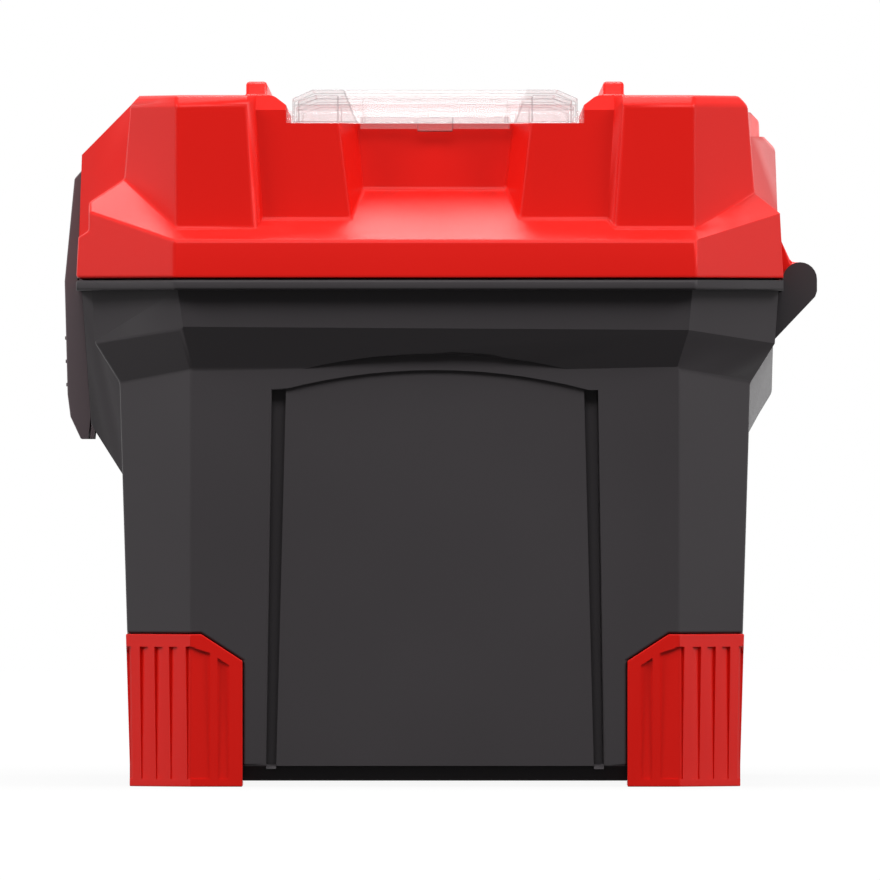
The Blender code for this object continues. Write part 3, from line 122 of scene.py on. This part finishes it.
darkLook = {"deep": "3d3a3c", "light": "434042", "flowMm": 70, "grainMm": 0.9, "bumpDepthMm": 0.04,
            "bumpStrength": 0.35, "rough": (0.34, 0.46), "ior": 1.49, "gloss": 0.06}
redLook = {"deep": "d3150d", "light": "da1a12", "flowMm": 90, "grainMm": 0.9, "bumpDepthMm": 0.03,
           "bumpStrength": 0.25, "rough": (0.3, 0.36), "ior": 1.49, "gloss": 0.15}
greyLook = {"deep": "272627", "light": "2f2e2f", "flowMm": 60, "grainMm": 0.9, "bumpDepthMm": 0.04,
            "bumpStrength": 0.35, "rough": (0.42, 0.55), "ior": 1.49, "gloss": 0.15}
latchLook = {"deep": "5e5356", "light": "655a5e", "flowMm": 40, "grainMm": 0.8, "bumpDepthMm": 0.03,
             "bumpStrength": 0.3, "rough": (0.34, 0.45), "ior": 1.49, "gloss": 0.15}
rubberLook = {"deep": "1c1a1b", "light": "242223", "flowMm": 30, "grainMm": 0.7, "bumpDepthMm": 0.05,
              "bumpStrength": 0.4, "rough": (0.62, 0.8), "ior": 1.52, "gloss": 0.15}

darkPolypropylene = mouldedPlastic("texturedPolypropyleneDark", darkLook)
redPolypropylene = mouldedPlastic("texturedPolypropyleneRed", redLook)
greyPolypropylene = mouldedPlastic("texturedPolypropyleneGrey", greyLook)
latchPolypropylene = mouldedPlastic("texturedPolypropyleneLatch", latchLook)
gripRubber = mouldedPlastic("mouldedGripRubber", rubberLook)

slantBlend = 0.35  # how soon the pale tint, a painted reflection, shows more as clear plastic turns away
clearLook = {"tint": "e4d8d9", "rough": 0.06, "ior": 1.59, "facing": 0.1, "edge": 0.4, "waveMm": 30,
             "bumpDepthMm": 0.006, "bumpStrength": 0.03}
# painted shade: a grey tint on the rounded cover edges for the light their bend turns away
edgeShadeLook = {"tint": "7a6f70", "rough": 0.1, "ior": 1.59, "facing": 0.4, "edge": 0.55, "waveMm": 18,
            "bumpDepthMm": 0.03, "bumpStrength": 0.12}
# painted shadow: a near-black, nearly opaque tint for the shade under the cover's tab
hookShadeLook = {"tint": "2a2022", "rough": 0.12, "ior": 1.59, "facing": 0.85, "edge": 0.95, "waveMm": 18,
            "bumpDepthMm": 0.03, "bumpStrength": 0.12}


def clearPlastic(name, look):
    # crystal polystyrene off a polished tool: seen through face on, slightly wavy; its pale tint shows more as it
    # turns away, a painted reflection on top of its own gloss
    made, shader, place = startMaterial(name)
    for socket, value in (("Base Color", linear(look["tint"])), ("Roughness", look["rough"]), ("IOR", look["ior"])):
        shader.inputs[socket].default_value = value
    wave = addNode(made, "ShaderNodeTexNoise",
                   {"Scale": perMetre(look["waveMm"]), "Detail": noiseShape["waveDetail"]}, {"Vector": place})
    slant = addNode(made, "ShaderNodeLayerWeight", {"Blend": slantBlend})
    # painted reflection: the pale tint grows more opaque as the face turns away from view
    body = addNode(made, "ShaderNodeMapRange", {"To Min": look["facing"], "To Max": look["edge"]},
                   {"Value": slant.outputs["Facing"]})
    joinShader(made, shader, {"Normal": reliefOf(made, look, wave), "Alpha": body.outputs["Result"]})
    return made


clearPolystyrene = clearPlastic("polishedClearPolystyrene", clearLook)
# painted shade: the rounded edges get a grey tint for the light their bend turns away, so they draw as grey lines,
# and the hook's foot a near-black tint for the shadow under the tab
edgeShadePolystyrene = clearPlastic("polystyreneEdgePaintedShade", edgeShadeLook)
hookShadePolystyrene = clearPlastic("polystyreneHookPaintedShadow", hookShadeLook)

steelLook = {"deep": "a9adb2", "light": "c6c9cc", "spangleMm": 1.2, "drawMm": 0.25, "stretch": 0.05,
             "bumpDepthMm": 0.01, "bumpStrength": 0.3, "rough": (0.22, 0.36)}


def platedSteel(name, look):
    # zinc-plated drawn wire: a cool bright metal with fine lines along its length
    made, shader, place = startMaterial(name)
    shader.inputs["Metallic"].default_value = 1.0
    along = addNode(made, "ShaderNodeMapping", {"Scale": (look["stretch"], 1.0, 1.0)}, {"Vector": place})
    spangle = addNode(made, "ShaderNodeTexNoise", {"Scale": perMetre(look["spangleMm"])}, {"Vector": place})
    lines = addNode(made, "ShaderNodeTexNoise", {"Scale": perMetre(look["drawMm"])},
                    {"Vector": along.outputs["Vector"]})
    patternedSurface(made, shader, look, spangle, lines)
    return made


zincSteel = platedSteel("zincPlatedSteel", steelLook)
print("materials made")


# Mouldings: welded copies of the CAD solids with their edges rounded

# shortest, narrow and near are counted in radii; flat, sharp, smooth and crease are degrees; folded is a cosine
rounding = {"weld": 0.004 * mm, "flat": 0.35, "sharp": 18, "segments": 2, "shortest": 2.6, "narrow": 2.4,
            "smooth": 46, "crease": 4, "facet": 4 * mm, "folded": -0.85, "speck": 0.2 * mm * mm,
            "near": 3.0, "tries": 14, "flatWeight": 100}
# the edge and hook places on a cover hold painted shade
edgeShadeSlot, hookShadeSlot = 1, 2  # material places on a cover


def faceWidth(face):
    return face.calc_area() / max(edge.calc_length() for edge in face.edges)


def nearerEnd(side, other):
    return min(side, key=lambda end: sum((end[1] - point[1]).length for point in other))[0].copy()


def crossings(face):  # where a face's outline crosses itself
    across = face.normal.orthogonal()
    up = face.normal.cross(across)
    line = [(vert.co, Vector((vert.co.dot(across), vert.co.dot(up)))) for vert in face.verts]
    sides = list(zip(line, line[1:] + line[:1]))
    spots = []
    for i, side in enumerate(sides):
        for other in sides[i + 2:len(sides) - (i == 0)]:
            if geometry.intersect_line_line_2d(side[0][1], side[1][1], other[0][1], other[1][1]):
                spots += [nearerEnd(side, other), nearerEnd(other, side)]
    return spots


def foldedSpots(bm):  # places where the rounding ran over itself
    bm.normal_update()
    turned, sides = {}, {}
    for loops in bm.calc_loop_triangles():
        a, b, c = (loop.vert for loop in loops)
        lean = (b.co - a.co).cross(c.co - a.co)
        if lean.dot(loops[0].face.normal) < -rounding["weld"] ** 2:
            turned.setdefault(loops[0].face, []).extend(vert.co.copy() for vert in (a, b, c))
        if lean.length > rounding["speck"]:
            for pair in ((a, b), (b, c), (c, a)):
                sides.setdefault(frozenset(pair), []).append(lean.normalized())
    spots = []
    for face, corners in turned.items():
        spots += crossings(face) or corners
    for pair, leans in sides.items():
        if len(leans) == 2 and leans[0].dot(leans[1]) < rounding["folded"]:
            spots += [vert.co.copy() for vert in pair]
    return spots


def roundedMesh(nodeName, radius, dropped):
    bm = bmesh.new()
    bm.from_mesh(frame["nodes"][nodeName].data)
    bmesh.ops.remove_doubles(bm, verts=bm.verts, dist=rounding["weld"])
    bmesh.ops.dissolve_limit(bm, angle_limit=math.radians(rounding["flat"]),
                             verts=bm.verts, edges=bm.edges)
    bm.edges.index_update()
    tight = {face for face in bm.faces if faceWidth(face) < rounding["narrow"] * radius}
    edges = [edge for edge in bm.edges if len(edge.link_faces) == 2 and edge.index not in dropped
             and edge.calc_face_angle(0.0) > math.radians(rounding["sharp"])
             and edge.calc_length() > rounding["shortest"] * radius
             and not tight.intersection(edge.link_faces)]
    ends = {edge.index: [vert.co.copy() for vert in edge.verts] for edge in edges}
    bent = bmesh.ops.bevel(bm, geom=edges, offset=radius, offset_type="OFFSET", segments=rounding["segments"],
                           profile=0.5, affect="EDGES", clamp_overlap=False, loop_slide=True, material=-1)
    return bm, bent["faces"], ends


def roundedCopy(nodeName, radius, finish, edgeShadeFinish=None):
    dropped = set()
    for _ in range(rounding["tries"]):
        bm, bent, ends = roundedMesh(nodeName, radius, dropped)
        spots = foldedSpots(bm)
        faulty = {index for index, points in ends.items()
                  if any((point - spot).length < rounding["near"] * radius
                         for point in points for spot in spots)}
        if not faulty:
            break
        dropped |= faulty  # edges that end at a fold stay sharp
        bm.free()
    else:
        bm, bent, ends = roundedMesh(nodeName, radius, dropped)
    print(nodeName, "rounded edges:", len(ends), "left sharp:", len(dropped), "folds:", len(spots))
    # the rounded faces take the painted edge shade
    if edgeShadeFinish:
        for face in bent:
            face.material_index = edgeShadeSlot
    curved = set(bent).union(face for face in bm.faces if faceWidth(face) < rounding["facet"])
    for edge in bm.edges:  # rounded edges and drums shade smoothly, and flats meet in a crease
        turn = rounding["smooth"] if curved.intersection(edge.link_faces) else rounding["crease"]
        edge.smooth = edge.calc_face_angle(0.0) < math.radians(turn)
    mesh = bpy.data.meshes.new(nodeName + "Moulding")
    bm.to_mesh(mesh)
    bm.free()
    for used in filter(None, (finish, edgeShadeFinish)):
        mesh.materials.append(used)
    mesh.shade_smooth()
    piece = bpy.data.objects.new(nodeName + "Moulding", mesh)
    bpy.context.scene.collection.objects.link(piece)
    # large faces stay flat up to their rounded edges
    settle = piece.modifiers.new("flatFaces", "WEIGHTED_NORMAL")
    settle.keep_sharp = True
    settle.weight = rounding["flatWeight"]
    return piece


def dress(piece, nodeName):
    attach(piece, bodyOf[nodeName])
    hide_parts(nodeName)


# edge radius in mm and finish of each moulding
mouldings = {
    "bin": (0.9, darkPolypropylene), "lid": (1.1, redPolypropylene), "tool_tray": (0.5, greyPolypropylene),
    "handle_bail": (0.6, darkPolypropylene),
    "foot_front_left": (0.35, redPolypropylene), "foot_front_right": (0.35, redPolypropylene),
    "foot_rear_left": (0.35, redPolypropylene), "foot_rear_right": (0.35, redPolypropylene),
    "latch_left": (0.4, latchPolypropylene), "latch_right": (0.4, latchPolypropylene),
    "organizer_divider_left": (0.25, greyPolypropylene), "organizer_divider_right": (0.25, greyPolypropylene),
    "hinge_pin_left": (0.3, zincSteel), "hinge_pin_right": (0.3, zincSteel),
    "latch_pin_left": (0.25, zincSteel), "latch_pin_right": (0.25, zincSteel),
    "handle_pin_left": (0.4, zincSteel), "handle_pin_right": (0.4, zincSteel)}

for nodeName, (radius, finish) in mouldings.items():
    dress(roundedCopy(nodeName, radius * mm, finish), nodeName)
print("mouldings rounded:", len(mouldings))


# Covers: clear mouldings whose rounded edges and hook foot get painted shade of their own

coverShape = {"round": 0.3 * mm, "shadedHookFoot": 0.7 * mm}

for nodeName in ("organizer_cover_left", "organizer_cover_right"):
    cover = roundedCopy(nodeName, coverShape["round"], clearPolystyrene, edgeShadePolystyrene)
    cover.data.materials.append(hookShadePolystyrene)
    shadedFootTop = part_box(nodeName)[0].z + coverShape["shadedHookFoot"]
    # painted shadow: rounded faces at the hook's foot take the near-black tint of the shade under the tab
    for face in cover.data.polygons:
        if face.center.z < shadedFootTop and face.material_index == edgeShadeSlot:
            face.material_index = hookShadeSlot
    dress(cover, nodeName)
print("covers made")


# Grip: a soft sleeve with shallow rings

gripShape = {"ringPitch": 6.5 * mm, "ringWidth": 1.6 * mm, "ringDepth": 0.6 * mm, "endRound": 1.5 * mm,
             "plain": 6.0 * mm, "wall": 3.2 * mm, "turns": 48}


def gripSleeve(nodeName, shape, finish):
    low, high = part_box(nodeName)
    centre = (low + high) / 2
    outer = (high.z - low.z) / 2
    half = (high.x - low.x) / 2
    inner = outer - shape["wall"]
    count = int((2 * half - shape["plain"]) / shape["ringPitch"])
    outline = [(-half, inner), (-half, outer - shape["endRound"]), (-half + shape["endRound"], outer)]
    reach = shape["ringWidth"] / 2
    floor = outer - shape["ringDepth"]
    for i in range(count + 1):
        x = (i - count / 2) * shape["ringPitch"]
        outline += [(x - reach, outer), (x - reach / 2, floor), (x + reach / 2, floor), (x + reach, outer)]
    outline += [(half - shape["endRound"], outer), (half, outer - shape["endRound"]), (half, inner)]
    bm = bmesh.new()
    verts = [bm.verts.new((centre.x + x, centre.y, centre.z + r)) for x, r in outline]
    edges = [bm.edges.new((a, b)) for a, b in zip(verts, verts[1:] + verts[:1])]
    bmesh.ops.spin(bm, geom=verts + edges, cent=centre, axis=(1, 0, 0), angle=2 * math.pi,
                   steps=shape["turns"], use_merge=True)
    bmesh.ops.remove_doubles(bm, verts=bm.verts, dist=rounding["weld"])
    bmesh.ops.recalc_face_normals(bm, faces=bm.faces)
    mesh = bpy.data.meshes.new("handleGripSleeve")
    bm.to_mesh(mesh)
    bm.free()
    mesh.materials.append(finish)
    mesh.shade_smooth()
    mesh.set_sharp_from_angle(angle=math.radians(rounding["smooth"]))
    piece = bpy.data.objects.new("handleGripSleeve", mesh)
    bpy.context.scene.collection.objects.link(piece)
    return piece


dress(gripSleeve("handle_grip", gripShape, gripRubber), "handle_grip")
print("grip made")


# Stage, light and camera

def seenRay(owner):  # 1 for what the camera sees, straight, mirrored or through clear plastic
    path = addNode(owner, "ShaderNodeLightPath")
    seen = addNode(owner, "ShaderNodeMath", {"operation": "MAXIMUM"},
                   {0: path.outputs["Is Camera Ray"], 1: path.outputs["Is Glossy Ray"]})
    return addNode(owner, "ShaderNodeMath", {"operation": "MAXIMUM"},
                   {0: seen.outputs[0], 1: path.outputs["Is Transmission Ray"]}).outputs[0]


stageLook = {"floor": "383838", "rough": 0.9, "half": 6.0, "glowNear": 0.92, "glowFar": 1.0, "near": 0.4,
             "far": 1.4, "ambient": 0.09}
white = (1, 1, 1, 1)


def paleFloor(look):
    # a lit table that whitens with distance, so its far edge doesn't show, and keeps the shadow near the case
    made, shader, place = startMaterial("paleFloor")
    for socket, value in (("Base Color", linear(look["floor"])), ("Roughness", look["rough"]),
                          ("Specular IOR Level", 0.0), ("Emission Color", white)):
        shader.inputs[socket].default_value = value
    away = addNode(made, "ShaderNodeVectorMath", {"operation": "LENGTH"}, {0: place})
    level = addNode(made, "ShaderNodeMapRange", {"From Min": look["near"], "From Max": look["far"],
                                                 "To Min": look["glowNear"], "To Max": look["glowFar"]},
                    {"Value": away.outputs["Value"]})
    glow = addNode(made, "ShaderNodeMath", {"operation": "MULTIPLY"},
                   {0: seenRay(made), 1: level.outputs["Result"]})
    joinShader(made, shader, {"Emission Strength": glow.outputs[0]})
    return made


def makeFloor(look):
    bm = bmesh.new()
    bmesh.ops.create_grid(bm, x_segments=1, y_segments=1, size=look["half"])
    mesh = bpy.data.meshes.new("floor")
    bm.to_mesh(mesh)
    bm.free()
    mesh.materials.append(paleFloor(look))
    floor = bpy.data.objects.new("floor", mesh)
    bpy.context.scene.collection.objects.link(floor)


def makeWorld(look):
    world = bpy.data.worlds.new("studio")
    world.use_nodes = True
    bpy.context.scene.world = world
    back = world.node_tree.nodes["Background"]
    back.inputs["Color"].default_value = white
    level = addNode(world, "ShaderNodeMapRange", {"To Min": look["ambient"], "To Max": 1.0},
                    {"Value": seenRay(world)})
    world.node_tree.links.new(level.outputs["Result"], back.inputs["Strength"])


# places and sizes in metres
softboxes = {
    "overhead": {"at": (-0.24, 0.0, 1.45), "size": (0.64, 0.4), "watts": 14},
    "overheadNear": {"at": (0.31, 0.0, 1.45), "size": (0.64, 0.2), "watts": 4.6},
    "overheadLeft": {"at": (-0.39, -0.53, 1.4), "size": (0.36, 0.36), "watts": 4.4},
    "overheadRight": {"at": (-0.39, 0.55, 1.4), "size": (0.36, 0.36), "watts": 2.6},
    "leftSide": {"at": (0.34, -1.4, 0.34), "size": (0.7, 0.66), "watts": 2.9},
    "rightSide": {"at": (0.34, 1.4, 0.34), "size": (0.7, 0.66), "watts": 3.4},
    "backRight": {"at": (-1.2, 0.75, 0.36), "size": (0.7, 0.7), "watts": 1.8},
    "frontLeft": {"at": (0.98, -1.57, 1.36), "size": (0.7, 0.7), "watts": 25},
    "frontRight": {"at": (0.98, 1.57, 1.36), "size": (0.7, 0.7), "watts": 25},
    "highFront": {"at": (1.68, 0.0, 1.62), "size": (1.2, 0.7), "watts": 21.5},
}
aim = Vector((0.0, 0.0, 0.13))


def addSoftbox(name, box):
    light = bpy.data.lights.new(name, "AREA")
    light.shape = "RECTANGLE"
    light.size, light.size_y = box["size"]
    light.energy = box["watts"]
    lamp = bpy.data.objects.new(name, light)
    lamp.location = box["at"]
    lamp.rotation_euler = (aim - lamp.location).to_track_quat("-Z", "Y").to_euler()
    bpy.context.scene.collection.objects.link(lamp)


# a long lens, since the photo shows next to no perspective; nearEnd and the centre are in mm
cameraView = {"lens": 1500.0, "sensor": 36.0, "frameMm": 299.2, "nearEnd": 240.0, "centreY": -0.1,
              "centreZ": 118.0, "clipEnd": 80.0}


def makeCamera(look):
    data = bpy.data.cameras.new("endView")
    data.lens = look["lens"]
    data.sensor_width = look["sensor"]
    data.clip_end = look["clipEnd"]
    distance = look["frameMm"] * mm * look["lens"] / look["sensor"]
    camera = bpy.data.objects.new("endView", data)
    camera.location = (look["nearEnd"] * mm + distance, look["centreY"] * mm, look["centreZ"] * mm)
    camera.rotation_euler = (math.radians(90), 0, math.radians(90))
    bpy.context.scene.collection.objects.link(camera)
    bpy.context.scene.camera = camera


makeFloor(stageLook)
makeWorld(stageLook)
for name, settings in softboxes.items():
    addSoftbox(name, settings)
makeCamera(cameraView)
bpy.context.scene.view_settings.view_transform = "Standard"
print("stage set")
